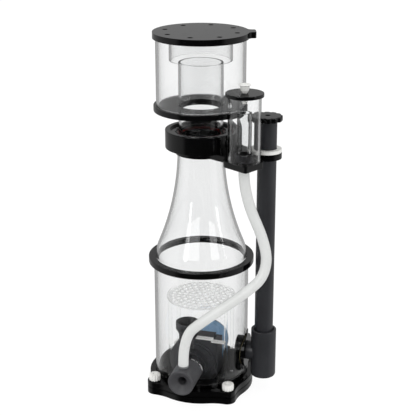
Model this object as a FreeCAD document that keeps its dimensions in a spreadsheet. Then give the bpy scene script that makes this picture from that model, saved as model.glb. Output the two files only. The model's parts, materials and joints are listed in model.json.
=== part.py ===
import FreeCAD, Part
import math
import os
import Sketcher

# Cone-body protein skimmer with an inside pump, a lift-off collection cup and a turning standpipe.
# Millimetres. The origin is on the body's axis at the underside of the foot, +Z is up,
# +X points at the outlet and the standpipe, and -Y at the water intake nozzle.

doc = FreeCAD.newDocument("ProteinSkimmer")
sheet = doc.addObject("Spreadsheet::Sheet", "Dims")
pieces = {}


# A number together with the sheet expression that gives it, so that sums of sizes stay bound.
class Size:
    def __init__(self, value, text):
        self.value = value
        self.text = text

    def __add__(self, other):
        other = asSize(other)
        return Size(self.value + other.value, f"({self.text} + {other.text})")

    def __sub__(self, other):
        other = asSize(other)
        return Size(self.value - other.value, f"({self.text} - {other.text})")

    def __mul__(self, other):
        other = asSize(other)
        return Size(self.value * other.value, f"({self.text} * {other.text})")

    def __truediv__(self, other):
        other = asSize(other)
        return Size(self.value / other.value, f"({self.text} / {other.text})")

    def __radd__(self, other):
        return asSize(other) + self

    def __rsub__(self, other):
        return asSize(other) - self

    def __rmul__(self, other):
        return asSize(other) * self

    def __neg__(self):
        return Size(-self.value, f"(0 - {self.text})")


def asSize(number):
    if isinstance(number, Size):
        return number
    return Size(float(number), f"{float(number):.9f}")


def dim(alias, number):
    row = dim.row = getattr(dim, "row", 0) + 1
    sheet.set(f"A{row}", alias)
    sheet.set(f"B{row}", str(number))
    sheet.setAlias(f"B{row}", alias)
    return Size(float(number), f"Dims.{alias}")


# ---- driving dimensions ----------------------------------------------------------------------

# clear body and its plates
bodyRadius = dim("bodyRadius", 65)
tubeWall = dim("tubeWall", 4)
thinWall = dim("thinWall", 3)
edge = dim("edge", 0.6)
plateRadius = dim("plateRadius", 73)
plateThick = dim("plateThick", 8.5)
lobeRadius = dim("lobeRadius", 12)
lobeCircle = dim("lobeCircle", 72.5)
lobeBlend = dim("lobeBlend", 60)
screwCircle = dim("screwCircle", 74.6)
gasketThick = dim("gasketThick", 1)
gasketInset = dim("gasketInset", 3.5)
tubeSeat = dim("tubeSeat", 3)
socketTop = dim("socketTop", 29.5)
socketWall = dim("socketWall", 4)
socketGap = dim("socketGap", 0.4)
ringRadius = dim("ringRadius", 72.2)
ringBottom = dim("ringBottom", 184.3)
ringTop = dim("ringTop", 192.5)
ringBore = dim("ringBore", 62.5)
seatHeight = dim("seatHeight", 188.3)

# flared neck, its collar and the bracket plate
neckFoot = dim("neckFoot", 62.3)
neckRadius = dim("neckRadius", 31.3)
flareRadius = dim("flareRadius", 350)
collarBottom = dim("collarBottom", 346.5)
collarTop = dim("collarTop", 371)
collarRadius = dim("collarRadius", 47.7)
socketRadius = dim("socketRadius", 34.2)
bracketThick = dim("bracketThick", 8)

# collection cup and lid
riserRadius = dim("riserRadius", 29.65)
riserBottom = dim("riserBottom", 351.5)
riserTop = dim("riserTop", 460.8)
cupFloor = dim("cupFloor", 396.7)
cupPlateTop = dim("cupPlateTop", 404.4)
cupPlateRadius = dim("cupPlateRadius", 62.5)
cupRadius = dim("cupRadius", 59)
cupTop = dim("cupTop", 492)
lidTop = dim("lidTop", 500)
lidRadius = dim("lidRadius", 62.8)
lidTabReach = dim("lidTabReach", 71)
lidTabWidth = dim("lidTabWidth", 20)
ventCircle = dim("ventCircle", 48.3)
ventRadius = dim("ventRadius", 3.5)
deflectorRadius = dim("deflectorRadius", 41.6)
deflectorBottom = dim("deflectorBottom", 463.3)

# standpipe and outlet
pipeOffset = dim("pipeOffset", 89.8)
pipeRadius = dim("pipeRadius", 12.7)
pipeWall = dim("pipeWall", 2.5)
pipeBottom = dim("pipeBottom", 24)
pipeTop = dim("pipeTop", 388.6)
knobRadius = dim("knobRadius", 19.5)
knobThick = dim("knobThick", 6.7)
outletHeight = dim("outletHeight", 55)
teeRadius = dim("teeRadius", 17.35)
teeBore = dim("teeBore", 14)
teeBottom = dim("teeBottom", 20.5)
teeTop = dim("teeTop", 91)
branchRadius = dim("branchRadius", 13)
branchBore = dim("branchBore", 10.5)
flangeRadius = dim("flangeRadius", 23)
flangeFace = dim("flangeFace", 67)
saddleGap = dim("saddleGap", 1)

# air silencer, intake nozzle and hose
silencerX = dim("silencerX", 71.2)
silencerY = dim("silencerY", -50.6)
silencerRadius = dim("silencerRadius", 21.3)
silencerTop = dim("silencerTop", 431)
silencerCapTop = dim("silencerCapTop", 435.6)
silencerCapRim = dim("silencerCapRim", 3.1)
innerTubeRadius = dim("innerTubeRadius", 9.5)
innerTubeBore = dim("innerTubeBore", 7)
hoseRadius = dim("hoseRadius", 7)
hoseGap = dim("hoseGap", 3.2)
barbRadius = dim("barbRadius", 5.6)
barbBore = dim("barbBore", 3.6)
barbFlange = dim("barbFlange", 2.5)
nozzleRadius = dim("nozzleRadius", 17.8)
nozzleFront = dim("nozzleFront", 102)
nozzleBack = dim("nozzleBack", 42)
nozzleBarb = dim("nozzleBarb", 88)

# pump, along Y at its own height; its sizes along the axis grow towards the nozzle
pumpHeight = dim("pumpHeight", 45)
voluteRadius = dim("voluteRadius", 36)
voluteStep = dim("voluteStep", 3)
voluteStepX = dim("voluteStepX", 23)
voluteFront = dim("voluteFront", 34)
voluteSplit = dim("voluteSplit", 31)
voluteBack = dim("voluteBack", 6)
chamberRadius = dim("chamberRadius", 27)
motorRadius = dim("motorRadius", 28.5)
motorBack = dim("motorBack", -45)
motorEnd = dim("motorEnd", -49)
wellRadius = dim("wellRadius", 10.2)
shaftRadius = dim("shaftRadius", 2)
pumpOutX = dim("pumpOutX", -14.6)
pumpOutY = dim("pumpOutY", -19)
pumpOutRadius = dim("pumpOutRadius", 10)
pumpBore = dim("pumpBore", 8)
lipTop = dim("lipTop", 97.5)
bossTop = dim("bossTop", 81)
feetHeight = dim("feetHeight", 2.5)

# bubble plate
bubbleRadius = dim("bubbleRadius", 48)
bubbleBottom = dim("bubbleBottom", 130)
bubbleThick = dim("bubbleThick", 3)
screwShank = dim("screwShank", 3)
sealGroove = dim("sealGroove", 1.5)
sealHeight = dim("sealHeight", 14)

# running and slipping fits
runFit = dim("runFit", 0.05)
slipFit = dim("slipFit", 0.3)

bodyBore = bodyRadius - tubeWall
voluteFlat = voluteRadius * 24 / 25
flangeBottom = plateThick + gasketThick
flangeTop = flangeBottom + plateThick
bracketBottom = collarBottom - bracketThick


# ---- building helpers --------------------------------------------------------------------------

def bind(thing, path, size):
    thing.setExpression(path, asSize(size).text)


# Puts a piece in place; facing "front" turns its own Z to -Y, and "side" turns it to +X.
def place(piece, x=0, y=0, z=0, facing="up"):
    turns = {
        "up": FreeCAD.Rotation(),
        "front": FreeCAD.Rotation(FreeCAD.Vector(1, 0, 0), 90),
        "side": FreeCAD.Rotation(FreeCAD.Vector(0, 1, 0), 90),
    }
    piece.Placement = FreeCAD.Placement(FreeCAD.Vector(), turns[facing])
    bind(piece, "Placement.Base.x", x)
    bind(piece, "Placement.Base.y", y)
    bind(piece, "Placement.Base.z", z)


def keep(label, piece):
    piece.Label = label
    pieces[label] = piece
    return piece


def newSketch(body, role, height=0):
    sketch = body.newObject("Sketcher::SketchObject", body.Name + "_sketch")
    planes = [plane for plane in body.Origin.OriginFeatures if plane.Role == role]
    sketch.AttachmentSupport = (planes[0], [""])
    sketch.MapMode = "FlatFace"
    bind(sketch, "AttachmentOffset.Base.z", height)
    return sketch


def fix(sketch, kind, *rest):
    index = sketch.addConstraint(Sketcher.Constraint(kind, *rest[:-1], asSize(rest[-1]).value))
    bind(sketch, f"Constraints[{index}]", rest[-1])


# The arc from start to end of a radius; a positive radius turns left, a negative one right.
def arcBetween(start, end, radius):
    chord = end - start
    left = FreeCAD.Vector(-chord.y, chord.x, 0).normalize()
    rise = math.sqrt(radius * radius - chord.Length * chord.Length / 4)
    centre = (start + end) * 0.5 + left * math.copysign(rise, radius)
    first, last = (start, end) if radius > 0 else (end, start)
    angles = [math.atan2(spot.y - centre.y, spot.x - centre.x) for spot in (first, last)]
    if angles[1] < angles[0]:
        angles[1] += 2 * math.pi
    circle = Part.Circle(centre, FreeCAD.Vector(0, 0, 1), abs(radius))
    return Part.ArcOfCircle(circle, angles[0], angles[1])


# Draws a closed outline. A corner is (x, y), or (x, y, radius) where an arc leads to the next one.
def outline(sketch, corners):
    spots = [FreeCAD.Vector(asSize(c[0]).value, asSize(c[1]).value, 0) for c in corners]
    ends = []
    for index, corner in enumerate(corners):
        start = spots[index]
        end = spots[(index + 1) % len(corners)]
        if len(corner) == 2:
            sketch.addGeometry(Part.LineSegment(start, end), False)
            ends.append((1, 2))
        else:
            radius = asSize(corner[2])
            sketch.addGeometry(arcBetween(start, end, radius.value), False)
            ends.append((1, 2) if radius.value > 0 else (2, 1))
    for index, corner in enumerate(corners):
        after = (index + 1) % len(corners)
        sketch.addConstraint(Sketcher.Constraint("Coincident", index, ends[index][1], after, ends[after][0]))
        fix(sketch, "DistanceX", -1, 1, index, ends[index][0], corner[0])
        fix(sketch, "DistanceY", -1, 1, index, ends[index][0], corner[1])
        if len(corner) == 3:
            radius = asSize(corner[2])
            fix(sketch, "Radius", index, radius if radius.value > 0 else -radius)


def drawCircle(sketch, radius, x=0, y=0):
    centre = FreeCAD.Vector(asSize(x).value, asSize(y).value, 0)
    ring = Part.Circle(centre, FreeCAD.Vector(0, 0, 1), asSize(radius).value)
    index = sketch.addGeometry(ring, False)
    fix(sketch, "Radius", index, radius)
    fix(sketch, "DistanceX", -1, 1, index, 3, x)
    fix(sketch, "DistanceY", -1, 1, index, 3, y)


def newBody(name):
    return doc.addObject("PartDesign::Body", name)


# Adds material to a body from a sketch upwards, or takes it away from the sketch downwards.
def feature(body, kind, sketch, length):
    step = body.newObject(f"PartDesign::{kind}", body.Name + "_" + kind.lower())
    step.Profile = sketch
    bind(step, "Length", length)
    sketch.Visibility = False
    body.Tip = step
    return step


def repeat(body, step, count):
    pattern = body.newObject("PartDesign::PolarPattern", body.Name + "_pattern")
    pattern.Originals = [step]
    pattern.Axis = (step.Profile[0], ["N_Axis"])
    pattern.Angle = 360
    pattern.Occurrences = count
    body.Tip = pattern
    return pattern


# Rounds the upright edges of a body's last step whose middles pass a test on x and y.
def roundUprights(body, radius, test):
    doc.recompute()
    base = body.Tip
    names = []
    for index, edge in enumerate(base.Shape.Edges):
        box = edge.BoundBox
        upright = box.XLength < 0.01 and box.YLength < 0.01 and box.ZLength > 1
        if upright and test(box.Center.x, box.Center.y):
            names.append(f"Edge{index + 1}")
    rounding = body.newObject("PartDesign::Fillet", body.Name + "_fillet")
    rounding.Base = (base, names)
    bind(rounding, "Radius", radius)
    body.Tip = rounding


# A piece of revolution about its own Z, from corners given as radius and height.
def turned(name, corners, x=0, y=0, z=0, facing="up"):
    body = newBody(name)
    sketch = newSketch(body, "XZ_Plane")
    outline(sketch, corners)
    step = body.newObject("PartDesign::Revolution", name + "_revolution")
    step.Profile = sketch
    step.ReferenceAxis = (sketch, ["V_Axis"])
    step.Angle = 360
    body.Tip = step
    place(body, x, y, z, facing)
    return body


def rod(name, radius, length, x=0, y=0, z=0, facing="up"):
    cylinder = doc.addObject("Part::Cylinder", name)
    bind(cylinder, "Radius", radius)
    bind(cylinder, "Height", length)
    place(cylinder, x, y, z, facing)
    return cylinder


def block(name, length, width, height, x=0, y=0, z=0):
    box = doc.addObject("Part::Box", name)
    bind(box, "Length", length)
    bind(box, "Width", width)
    bind(box, "Height", height)
    place(box, x, y, z)
    return box


def cut(name, base, tool):
    result = doc.addObject("Part::Cut", name)
    result.Base = base
    result.Tool = tool
    return result


def common(name, base, tool):
    result = doc.addObject("Part::Common", name)
    result.Base = base
    result.Tool = tool
    return result


def fuse(name, *shapes):
    result = doc.addObject("Part::MultiFuse", name)
    result.Shapes = list(shapes)
    return result


def tube(name, outer, inner, length, x=0, y=0, z=0, facing="up"):
    shell = rod(name + "_outer", outer, length)
    bore = rod(name + "_bore", inner, length)
    result = cut(name, shell, bore)
    place(result, x, y, z, facing)
    return result


# A point at a radius and an angle in degrees about the Z axis, then moved sideways by an offset.
def polar(radius, angle, across=0):
    turn = math.radians(angle)
    x = radius * math.cos(turn) - across * math.sin(turn)
    y = radius * math.sin(turn) + across * math.cos(turn)
    return x, y


# ---- foot and clear body ---------------------------------------------------------------------

# The foot's outline: a disc with four screw lobes that blend into it.
def lobedPlate(name):
    body = newBody(name)
    disc = newSketch(body, "XY_Plane")
    drawCircle(disc, plateRadius)
    feature(body, "Pad", disc, plateThick)
    lobe = newSketch(body, "XY_Plane")
    drawCircle(lobe, lobeRadius, *polar(lobeCircle, 45))
    repeat(body, feature(body, "Pad", lobe, plateThick), 4)
    roundUprights(body, lobeBlend, lambda x, y: math.hypot(x, y) < plateRadius.value + 1)
    return body


def screwHoles(body, radius):
    holes = newSketch(body, "XY_Plane", plateThick)
    drawCircle(holes, radius, *polar(screwCircle, 45))
    repeat(body, feature(body, "Pocket", holes, plateThick), 4)


def makeBasePlate():
    body = lobedPlate("base_blank")
    screwHoles(body, screwShank + runFit)
    socket = newSketch(body, "XY_Plane", plateThick)
    socketRim = bodyBore - socketGap
    drawCircle(socket, socketRim)
    drawCircle(socket, socketRim - socketWall)
    feature(body, "Pad", socket, socketTop - plateThick)
    nozzleGap = rod("socket_nozzle_gap", nozzleRadius + edge, bodyRadius, 0, 0, pumpHeight, "front")
    sealTorus = doc.addObject("Part::Torus", "socket_groove")
    bind(sealTorus, "Radius1", bodyBore - sealGroove)
    bind(sealTorus, "Radius2", sealGroove)
    place(sealTorus, 0, 0, plateThick + sealHeight)
    notched = cut("base_notched", body, nozzleGap)
    keep("base_plate", cut("base_plate", notched, sealTorus))
    seal = doc.addObject("Part::Torus", "base_o_ring")
    bind(seal, "Radius1", bodyBore - sealGroove)
    bind(seal, "Radius2", sealGroove - runFit)
    place(seal, 0, 0, plateThick + sealHeight)
    keep("base_o_ring", seal)


def makeBodyFlange():
    body = lobedPlate("flange_blank")
    screwHoles(body, screwShank + slipFit)
    bore = newSketch(body, "XY_Plane", plateThick)
    drawCircle(bore, bodyBore)
    feature(body, "Pocket", bore, plateThick)
    seat = newSketch(body, "XY_Plane", plateThick)
    drawCircle(seat, bodyRadius)
    feature(body, "Pocket", seat, plateThick - tubeSeat)
    place(body, 0, 0, flangeBottom)
    keep("body_flange", body)
    gasket = tube("base_gasket", plateRadius - gasketInset, bodyBore + 1, gasketThick, 0, 0, plateThick)
    keep("base_gasket", gasket)


def makeBodyTube():
    bottom = flangeBottom + tubeSeat
    shell = tube("body_shell", bodyRadius, bodyBore, seatHeight - gasketThick / 2 - bottom, 0, 0, bottom)
    nozzleHole = rod("nozzle_hole", nozzleRadius + edge, bodyRadius + 5, 0, 0, pumpHeight, "front")
    outletHole = rod("outlet_hole", branchRadius - socketGap, bodyRadius + 5, 0, 0, outletHeight, "side")
    keep("body_tube", cut("body_tube", shell, fuse("body_holes", nozzleHole, outletHole)))


def makeThumbscrews():
    headRadius = dim("screwHeadRadius", 8)
    headTall = dim("screwHeadTall", 9)
    shankLength = dim("shankLength", 16.5)
    lobe = dim("screwLobe", 1.35)
    dish = dim("screwDish", 2.2)
    for number in range(4):
        name = f"thumbscrew_{number + 1}"
        x, y = polar(screwCircle, 45 + 90 * number)
        body = turned(name, [
            (0, -shankLength), (screwShank - edge, -shankLength), (screwShank, edge - shankLength),
            (screwShank, 0), (headRadius - edge, 0), (headRadius, edge), (headRadius, headTall - 2 * edge),
            (headRadius - 2 * edge, headTall), (dish, headTall), (dish, headTall - 1), (0, headTall - 1),
        ], x, y, flangeTop + 0.1)
        groove = newSketch(body, "XY_Plane", headTall)
        drawCircle(groove, lobe, headRadius + edge)
        repeat(body, feature(body, "Pocket", groove, headTall), 12)
        keep(name, body)


def makeBodyRing():
    keep("body_ring", turned("body_ring", [
        (bodyRadius, ringBottom), (ringRadius - edge, ringBottom), (ringRadius, ringBottom + edge),
        (ringRadius, ringTop - edge), (ringRadius - edge, ringTop), (ringBore, ringTop),
        (ringBore, seatHeight), (bodyRadius, seatHeight),
    ]))
    gasket = tube("ring_gasket", bodyRadius - 0.2, bodyBore, gasketThick / 2, 0, 0, seatHeight - gasketThick / 2)
    keep("ring_gasket", gasket)


# ---- neck --------------------------------------------------------------------------------------

# The neck is an ogee: a long hollow arc from the narrow top meets a short round arc at the foot.
# Both arcs end upright, so half their common turn has the tangent (width change / height change).
def makeNeckCone():
    halfTan = (neckFoot - neckRadius) / (collarBottom - ringTop)
    spread = 1 + halfTan * halfTan
    sine = 2 * halfTan / spread
    cosine = (1 - halfTan * halfTan) / spread
    footRadius = (collarBottom - ringTop) / sine - flareRadius
    flareCentre = neckRadius + flareRadius
    outerX = flareCentre - flareRadius * cosine
    outerZ = collarBottom - flareRadius * sine
    innerX = flareCentre - (flareRadius + thinWall) * cosine
    innerZ = collarBottom - (flareRadius + thinWall) * sine
    top = riserBottom - 0.1
    keep("neck_cone", turned("neck_cone", [
        (neckFoot, seatHeight), (neckFoot, ringTop, footRadius), (outerX, outerZ, -flareRadius),
        (neckRadius, collarBottom), (neckRadius, top), (neckRadius - thinWall, top),
        (neckRadius - thinWall, collarBottom, flareRadius + thinWall),
        (innerX, innerZ, thinWall - footRadius), (neckFoot - thinWall, ringTop),
        (neckFoot - thinWall, seatHeight),
    ]))


def makeCollar():
    sealSeat = dim("sealSeat", 362.5)
    sealTall = dim("sealTall", 3.5)
    rimWidth = dim("rimWidth", 6.7)
    socketInner = riserRadius + slipFit
    sealPocket = socketRadius - 1.2
    keep("neck_collar", turned("neck_collar", [
        (socketRadius + 0.1, collarBottom), (collarRadius, collarBottom),
        (collarRadius, collarTop - edge), (collarRadius - edge, collarTop), (collarRadius - rimWidth, collarTop),
        (collarRadius - rimWidth, collarTop - 3), (socketRadius + 0.1, collarTop - 3),
    ]))
    keep("collar_socket", turned("collar_socket", [
        (neckRadius + 0.2, collarBottom), (socketRadius, collarBottom), (socketRadius, collarTop - 2),
        (sealPocket, collarTop - 2), (sealPocket, sealSeat), (socketInner, sealSeat),
        (socketInner, riserBottom), (neckRadius + 0.2, riserBottom),
    ]))
    seal = tube("neck_seal", sealPocket - 0.05, riserRadius + runFit, sealTall, 0, 0, sealSeat)
    keep("neck_seal", seal)


# The bracket hugs the neck, carries the silencer on its front corner and guides the standpipe.
def makeBracket():
    body = newBody("bracket_arm")
    sketch = newSketch(body, "XY_Plane")
    outline(sketch, [
        (18, -27), (43.5, -39.5), (45, -57), (80, -77.5), (95.3, -47.5), (84, -19), (84, 18), (18, 28),
    ])
    feature(body, "Pad", sketch, bracketThick)
    roundUprights(body, 10, lambda x, y: abs(x - 45) < 0.1)
    roundUprights(body, 3, lambda x, y: x > 79 and y < -40)
    place(body, 0, 0, bracketBottom)
    neckRing = rod("bracket_neck_ring", neckRadius + thinWall, bracketThick, 0, 0, bracketBottom)
    pipeRing = rod("bracket_pipe_ring", knobRadius, bracketThick, pipeOffset, 0, bracketBottom)
    neckHole = rod("bracket_neck_hole", neckRadius + socketGap, bracketThick, 0, 0, bracketBottom)
    pipeHole = rod("bracket_pipe_hole", pipeRadius + slipFit, bracketThick, pipeOffset, 0, bracketBottom)
    barbHole = rod("bracket_barb_hole", barbRadius + 0.1, bracketThick, silencerX, silencerY, bracketBottom)
    plate = fuse("bracket_blank", body, neckRing, pipeRing)
    holes = fuse("bracket_holes", neckHole, pipeHole, barbHole)
    keep("bracket_plate", cut("bracket_plate", plate, holes))


# ---- collection cup and lid -----------------------------------------------------------------

def makeCup():
    riser = tube("cup_riser", riserRadius, riserRadius - thinWall, riserTop - riserBottom, 0, 0, riserBottom)
    keep("cup_riser", riser)
    keep("cup_base_plate", turned("cup_base_plate", [
        (riserRadius, cupFloor), (cupPlateRadius - edge, cupFloor), (cupPlateRadius, cupFloor + edge),
        (cupPlateRadius, cupPlateTop - edge), (cupPlateRadius - edge, cupPlateTop), (riserRadius, cupPlateTop),
    ]))
    wall = tube("cup_wall", cupRadius, cupRadius - tubeWall, cupTop - cupPlateTop, 0, 0, cupPlateTop)
    keep("cup_wall", wall)


def makeLid():
    tabAngle = 18
    tabRoot = dim("tabRoot", 12)
    thick = lidTop - cupTop
    half = lidTabWidth / 2
    body = newBody("cup_lid")
    disc = newSketch(body, "XY_Plane")
    drawCircle(disc, lidRadius)
    feature(body, "Pad", disc, thick)
    tab = newSketch(body, "XY_Plane")
    inner = lidRadius - tabRoot
    outline(tab, [
        polar(inner, tabAngle, -half), polar(lidTabReach, tabAngle, -half),
        polar(lidTabReach, tabAngle, half), polar(inner, tabAngle, half),
    ])
    feature(body, "Pad", tab, thick)
    roundUprights(body, 3, lambda x, y: math.hypot(x, y) > lidTabReach.value)
    roundUprights(body, 6, lambda x, y: abs(math.hypot(x, y) - lidRadius.value) < 0.1)
    vents = newSketch(body, "XY_Plane", thick)
    drawCircle(vents, ventRadius, ventCircle)
    repeat(body, feature(body, "Pocket", vents, thick), 8)
    place(body, 0, 0, cupTop)
    keep("cup_lid", body)
    ring = tube("lid_deflector", deflectorRadius, deflectorRadius - thinWall, cupTop - deflectorBottom,
                0, 0, deflectorBottom)
    keep("lid_deflector", ring)


# ---- outlet and standpipe -------------------------------------------------------------------

def makeOutlet():
    saddle = bodyRadius + saddleGap
    neckStart = dim("neckStart", 50)
    disc = rod("flange_disc", flangeRadius, flangeFace, 0, 0, outletHeight, "side")
    curve = rod("flange_curve", saddle, 2 * outletHeight)
    plate = cut("flange_plate", disc, curve)
    neck = rod("flange_neck", branchRadius - edge, flangeFace - neckStart, neckStart, 0, outletHeight, "side")
    bore = rod("flange_bore", branchBore, flangeFace, 20, 0, outletHeight, "side")
    wingReach = dim("wingReach", 31)
    wingWide = dim("wingWide", 7)
    wing = block("flange_wings", flangeFace - neckStart - 11, wingWide, 2 * wingReach,
                 neckStart + 11, -wingWide / 2, outletHeight - wingReach)
    wings = cut("flange_wings_cut", wing, rod("wing_curve", saddle, 3 * outletHeight))
    keep("outlet_flange", cut("outlet_flange", fuse("flange_solid", plate, wings, neck), bore))

    gasketDisc = rod("gasket_disc", flangeRadius - edge, flangeFace, 0, 0, outletHeight, "side")
    gasketShell = tube("gasket_shell", saddle, bodyRadius, 2 * outletHeight)
    gasketHole = rod("gasket_hole", branchRadius, flangeFace, 5, 0, outletHeight, "side")
    gasketSheet = common("gasket_sheet", gasketDisc, gasketShell)
    keep("outlet_gasket", cut("outlet_gasket", gasketSheet, gasketHole))

    nutDisc = rod("nut_disc", flangeRadius - thinWall, 12, neckStart + 1.5, 0, outletHeight, "side")
    nutCurve = rod("nut_curve", bodyBore, 2 * outletHeight)
    nutBore = rod("nut_bore", branchRadius - edge + runFit, 20, neckStart - 1, 0, outletHeight, "side")
    keep("outlet_nut", cut("outlet_nut", common("nut_solid", nutDisc, nutCurve), nutBore))


def makeTee():
    tall = teeTop - teeBottom
    run = turned("tee_run", [
        (0, 0), (teeRadius - thinWall, 0), (teeRadius - edge, 1), (teeRadius, thinWall),
        (teeRadius, tall - edge), (teeRadius - edge, tall), (0, tall),
    ], pipeOffset, 0, teeBottom)
    branch = rod("tee_branch", branchRadius, pipeOffset - flangeFace, flangeFace, 0, outletHeight, "side")
    runBore = rod("tee_run_bore", teeBore, tall, pipeOffset, 0, teeBottom)
    branchHole = rod("tee_branch_bore", branchBore, pipeOffset - flangeFace, flangeFace, 0, outletHeight,
                     "side")
    keep("outlet_tee", cut("outlet_tee", fuse("tee_solid", run, branch), fuse("tee_bores", runBore, branchHole)))


# The pipe's side window faces the branch when the valve is open.
def makeStandpipe():
    plugDepth = dim("plugDepth", 8)
    pullHole = dim("pullHole", 3.2)
    window = rod("pipe_window", pipeRadius - pullHole, teeBore, pipeOffset - teeBore, 0, outletHeight, "side")
    pipe = tube("pipe_blank", pipeRadius, pipeRadius - pipeWall, pipeTop - pipeBottom, pipeOffset, 0, pipeBottom)
    keep("standpipe", cut("standpipe", pipe, window))
    plug = pipeRadius - pipeWall - 0.1
    knob = turned("standpipe_knob", [
        (pullHole, -plugDepth), (plug, -plugDepth), (plug, 0), (knobRadius - edge, 0), (knobRadius, edge),
        (knobRadius, knobThick - edge), (knobRadius - edge, knobThick), (pullHole, knobThick),
    ], pipeOffset, 0, pipeTop)
    scallop = newSketch(knob, "XY_Plane", knobThick)
    drawCircle(scallop, 2.2, knobRadius + 1.1)
    repeat(knob, feature(knob, "Pocket", scallop, knobThick), 16)
    keep("standpipe_knob", knob)
    ring = tube("standpipe_collar", knobRadius, pipeRadius, 4.6, pipeOffset, 0, collarBottom + 0.1)
    keep("standpipe_collar", ring)


# ---- air silencer, nozzle and hose --------------------------------------------------------

def makeSilencer():
    spot = (silencerX, silencerY)
    height = silencerTop - collarBottom
    shell = tube("silencer_tube", silencerRadius, silencerRadius - thinWall, height, *spot, collarBottom)
    keep("silencer_tube", shell)
    capThick = silencerCapTop - silencerTop
    capRadius = silencerRadius + silencerCapRim
    plugRadius = silencerRadius - thinWall - slipFit
    plugDepth = dim("silencerPlugDepth", 1.5)
    stemRadius = dim("stemRadius", 3.5)
    stemHole = stemRadius + runFit
    keep("silencer_cap", turned("silencer_cap", [
        (stemHole, -plugDepth), (plugRadius, -plugDepth), (plugRadius, 0), (capRadius - edge, 0),
        (capRadius, edge), (capRadius, capThick - edge), (capRadius - edge, capThick), (stemHole, capThick),
    ], *spot, silencerTop))
    stemDepth = dim("stemDepth", 14)
    valveFoot = dim("valveFoot", 5.1)
    valveNeck = dim("valveNeck", 6.3)
    valveFlange = dim("valveFlange", 7.9)
    valveTall = dim("valveTall", 10.8)
    flangeBase = valveTall - 2 * edge
    keep("air_valve_knob", turned("air_valve_knob", [
        (0, -stemDepth), (stemRadius - 1, -stemDepth), (stemRadius, 2 - stemDepth), (stemRadius, edge),
        (valveFoot, 4 * edge), (valveNeck, flangeBase - edge), (valveFlange, flangeBase),
        (valveFlange, valveTall - edge), (valveFlange - edge, valveTall), (0, valveTall),
    ], *spot, silencerCapTop + 0.1))
    innerTall = dim("innerTubeTall", 64)
    inner = tube("silencer_inner_tube", innerTubeRadius, innerTubeBore, innerTall, *spot, collarBottom)
    keep("silencer_inner_tube", inner)
    hubBore = innerTubeRadius + runFit
    hubRadius = dim("hubRadius", 12.5)
    hubTall = dim("hubTall", 10.5)
    hub = turned("silencer_hub", [
        (hubBore, 0), (hubRadius, 0), (hubRadius, 2.4), (hubRadius - edge, thinWall),
        (hubRadius - edge, hubTall - 1), (hubRadius - 2 * edge, hubTall), (hubBore, hubTall),
    ], *spot, collarBottom)
    slot = newSketch(hub, "XY_Plane", hubTall)
    drawCircle(slot, 0.9, hubRadius)
    repeat(hub, feature(hub, "Pocket", slot, hubTall - thinWall), 16)
    keep("silencer_hub", hub)
    keep("silencer_barb", turned("silencer_barb", [
        (barbBore, 0), (hoseRadius, 0), (hoseRadius, barbFlange), (barbRadius, barbFlange),
        (barbRadius, bracketThick + barbFlange), (barbBore, bracketThick + barbFlange),
    ], *spot, bracketBottom - barbFlange))


# The venturi nozzle: a funnel mouth, a throat under the air inlet and a widening throat to the pump.
def makeNozzle():
    throat = dim("throatRadius", 5)
    mouthThroat = dim("mouthThroat", 5.75)
    funnelDepth = dim("funnelDepth", 8)
    rimBand = dim("rimBand", 2.3)
    front = nozzleFront
    body = turned("nozzle_blank", [
        (pumpBore, nozzleBack), (nozzleRadius, nozzleBack), (nozzleRadius, front - 1), (nozzleRadius - 1, front),
        (nozzleRadius - rimBand, front), (mouthThroat, front - funnelDepth),
        (mouthThroat, front - funnelDepth - 4), (throat, front - 2 * funnelDepth),
    ], 0, 0, pumpHeight, "front")
    airHole = rod("nozzle_air_hole", barbRadius + 0.1, 30, 0, -nozzleBarb, pumpHeight)
    keep("intake_nozzle", cut("intake_nozzle", body, airHole))
    barbFoot = nozzleRadius - 7
    keep("nozzle_barb", turned("nozzle_barb", [
        (barbBore, 0), (barbRadius, 0), (barbRadius, 7), (hoseRadius, 7), (hoseRadius, 7 + hoseGap),
        (barbBore, 7 + hoseGap),
    ], 0, -nozzleBarb, pumpHeight + barbFoot))


# The hose is made of straight runs joined by tangent arcs, each as large as its runs allow.
def makeHose():
    startZ = bracketBottom - barbFlange
    endZ = pumpHeight + nozzleRadius + hoseGap
    route = [
        (silencerX.value, silencerY.value, startZ.value), (silencerX.value, silencerY.value, 302),
        (103.8, -51, 232), (103.2, -59, 196), (82, -71, 174.5), (30, -91, 137),
        (0, -nozzleBarb.value, 108), (0, -nozzleBarb.value, endZ.value),
    ]
    spots = [FreeCAD.Vector(*spot) for spot in route]
    edges = []
    begin = spots[0]
    for before, corner, after in zip(spots, spots[1:], spots[2:]):
        run = min((corner - before).Length, (after - corner).Length)
        back = (before - corner).normalize()
        ahead = (after - corner).normalize()
        halfTurn = (math.pi - back.getAngle(ahead)) / 2
        radius = 0.45 * run / math.tan(halfTurn)
        print(f"hose bend radius {radius:.1f} at turn {math.degrees(2 * halfTurn):.1f}")
        arcStart = corner + back * 0.45 * run
        arcEnd = corner + ahead * 0.45 * run
        centre = corner + (back + ahead).normalize() * (radius / math.cos(halfTurn))
        middle = centre + (corner - centre).normalize() * radius
        edges.append(Part.LineSegment(begin, arcStart).toShape())
        edges.append(Part.Arc(arcStart, middle, arcEnd).toShape())
        begin = arcEnd
    edges.append(Part.LineSegment(begin, spots[-1]).toShape())
    path = Part.Wire(edges)
    section = Part.Wire(Part.makeCircle(hoseRadius.value, spots[0], spots[1] - spots[0]))
    solid = path.makePipeShell([section], True, True)
    expected = math.pi * hoseRadius.value ** 2 * path.Length
    print(f"hose length {path.Length:.1f}, volume {solid.Volume:.0f}, section x length {expected:.0f}")
    hose = doc.addObject("Part::Feature", "air_hose")
    hose.Shape = solid
    hose.Placement = FreeCAD.Placement()
    keep("air_hose", hose)


# ---- pump ----------------------------------------------------------------------------------------

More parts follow.
